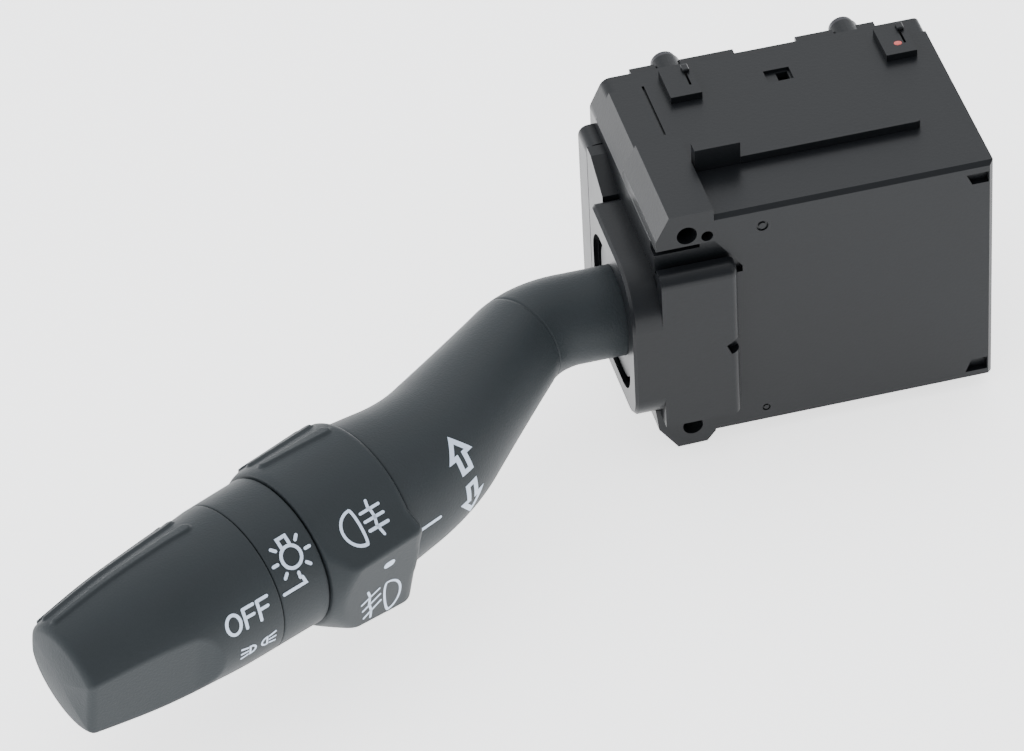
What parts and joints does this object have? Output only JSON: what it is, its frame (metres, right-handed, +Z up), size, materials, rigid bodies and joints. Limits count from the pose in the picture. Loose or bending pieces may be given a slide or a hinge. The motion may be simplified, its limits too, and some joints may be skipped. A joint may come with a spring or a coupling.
{
  "type": "combination stalk switch",
  "caption": "Steering-column stalk switch: a box housing with a cranked lever carrying a six-sided fog collar and a flattened rotary light knob.",
  "frame": {"origin": "midway between the two mounting screw holes, on the front plane of the housing", "axes": "+X along the housing away from the lever, -Y towards the driver, +Z up along the line of the two screw holes"},
  "size_m": [0.1698, 0.1092, 0.0517],
  "materials": {
    "case_plastic": "moulded black nylon with a slight sheen",
    "lever_plastic": "fine satin charcoal",
    "screw_steel": "zinc plated",
    "spring_steel": "drawn wire",
    "contact_brass": "tin flashed",
    "board_phenolic": "brown phenolic",
    "acetal": "natural acetal",
    "cable_rubber": "black sheath"
  },
  "bodies": {
    "housing": {"main_case": "case_plastic", "front_cover": "case_plastic", "rear_cover": "case_plastic", "cover_screws": "screw_steel", "contact_board": "board_phenolic", "fixed_contacts": "contact_brass", "terminal_pins": "contact_brass", "detent_cam": "acetal", "cancel_pin": "screw_steel", "cancel_spring": "spring_steel"},
    "turn": {"turn_bracket": "acetal", "dimmer_pin": "screw_steel", "turn_spring": "spring_steel", "dimmer_contact_plate": "board_phenolic", "dimmer_contacts": "contact_brass"},
    "turn_detent": {"turn_plunger": "acetal"},
    "lever": {"lever_body": "lever_plastic", "lever_cable": "cable_rubber", "neck_shield": "lever_plastic", "collar_stem": "lever_plastic", "fog_contact_ring": "contact_brass", "fog_detent_ball": "screw_steel", "index_ring": "lever_plastic", "light_switch_base": "board_phenolic", "dimmer_spring": "spring_steel"},
    "dimmer_detent": {"dimmer_plunger": "acetal"},
    "fog": {"fog_collar": "lever_plastic", "fog_wiper": "contact_brass"},
    "knob": {"headlight_knob": "lever_plastic", "knob_rotor": "acetal", "knob_wiper": "contact_brass", "retaining_clip": "spring_steel"},
    "turn_slide": {"turn_slider": "acetal", "turn_wipers": "contact_brass"},
    "dimmer_slide": {"dimmer_slider": "acetal", "dimmer_wiper": "contact_brass"},
    "cancel": {"cancel_pawl": "acetal"}
  },
  "joints": [
    {"name": "turn_hinge", "type": "hinge", "parent": "housing", "child": "turn", "pos_m": [0.0015, 0.0109, -0.0015], "axis": [0, 1, 0], "range_deg": [-10, 10]},
    {"name": "turn_detent_slide", "type": "slide", "parent": "turn", "child": "turn_detent", "axis": [1, 0, 0], "range_m": [-0.0008, 0], "stiffness_N_per_m": 400, "springref_m": 0.003},
    {"name": "dimmer_hinge", "type": "hinge", "parent": "turn", "child": "lever", "pos_m": [0.004, 0.0109, -0.0015], "axis": [0, 0, 1], "range_deg": [-6, 6]},
    {"name": "dimmer_detent_slide", "type": "slide", "parent": "lever", "child": "dimmer_detent", "axis": [1, 0, 0], "range_m": [-0.0008, 0], "stiffness_N_per_m": 400, "springref_m": 0.003},
    {"name": "fog_turn", "type": "hinge", "parent": "lever", "child": "fog", "pos_m": [-0.0499, -0.0168, -0.0015], "axis": [-0.8942, -0.4478, 0], "range_deg": [-30, 30]},
    {"name": "light_turn", "type": "hinge", "parent": "lever", "child": "knob", "pos_m": [-0.0499, -0.0168, -0.0015], "axis": [-0.8942, -0.4478, 0], "range_deg": [0, 54]},
    {"name": "turn_contact_slide", "type": "slide", "parent": "housing", "child": "turn_slide", "axis": [0, 0, 1], "range_m": [-0.0038, 0.0038]},
    {"name": "dimmer_contact_slide", "type": "slide", "parent": "turn", "child": "dimmer_slide", "axis": [0, 1, 0], "range_m": [-0.0013, 0.0013]},
    {"name": "cancel_hinge", "type": "hinge", "parent": "housing", "child": "cancel", "pos_m": [0.0438, 0.011, -0.0015], "axis": [0, 1, 0], "range_deg": [-18, 18], "stiffness_Nm_per_rad": 0.02}
  ],
  "couplings": [
    {"joint": "turn_contact_slide", "follows": "turn_hinge", "m_per_rad": -0.0215},
    {"joint": "dimmer_contact_slide", "follows": "dimmer_hinge", "m_per_rad": 0.012}
  ]
}
